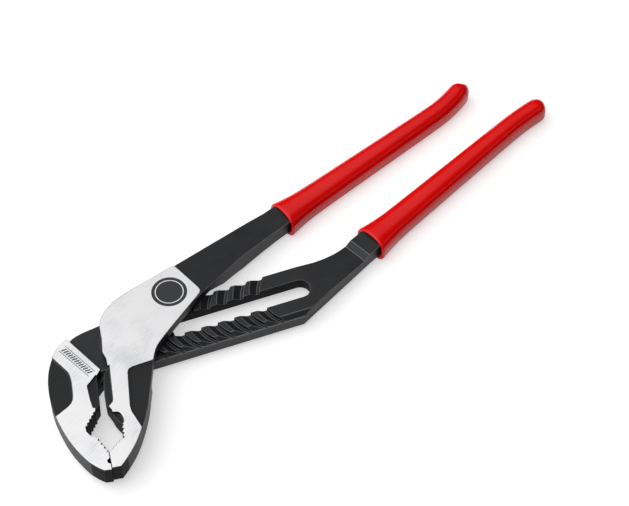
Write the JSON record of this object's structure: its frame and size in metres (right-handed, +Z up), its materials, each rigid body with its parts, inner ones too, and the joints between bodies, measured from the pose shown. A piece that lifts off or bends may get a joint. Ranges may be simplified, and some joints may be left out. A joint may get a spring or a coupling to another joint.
{
  "type": "water pump pliers",
  "caption": "Large groove-joint pliers: a slotted lower lever with curved adjusting grooves, an upper lever on a sliding pivot, serrated pipe jaws and dipped grips.",
  "frame": {"origin": "centre of the bounding box at the resting plane", "axes": "+X along the tool from the jaws to the handles, +Z up from the resting plane"},
  "size_m": [0.4152, 0.1094, 0.0205],
  "materials": {
    "lever_steel": "black oxide on forged steel, with ground bright faces",
    "zinc_steel": "zinc plated",
    "grip_vinyl": "glossy dipped vinyl"
  },
  "bodies": {
    "slotted_lever": {"slotted_lever": "lever_steel", "lower_grip": "grip_vinyl"},
    "carriage": {"slide_washer": "zinc_steel"},
    "upper_lever": {"upper_lever": "lever_steel", "upper_grip": "grip_vinyl", "pivot_stud": "zinc_steel", "lock_nut": "zinc_steel"}
  },
  "joints": [
    {"name": "jaw_adjust", "type": "slide", "parent": "slotted_lever", "child": "carriage", "axis": [0.8774, -0.4798, 0], "range_m": [0, 0.066]},
    {"name": "handle_pivot", "type": "hinge", "parent": "carriage", "child": "upper_lever", "pos_m": [-0.11226, 0.02005, 0.0085], "axis": [0, 0, 1], "range_deg": [0, 60]}
  ]
}
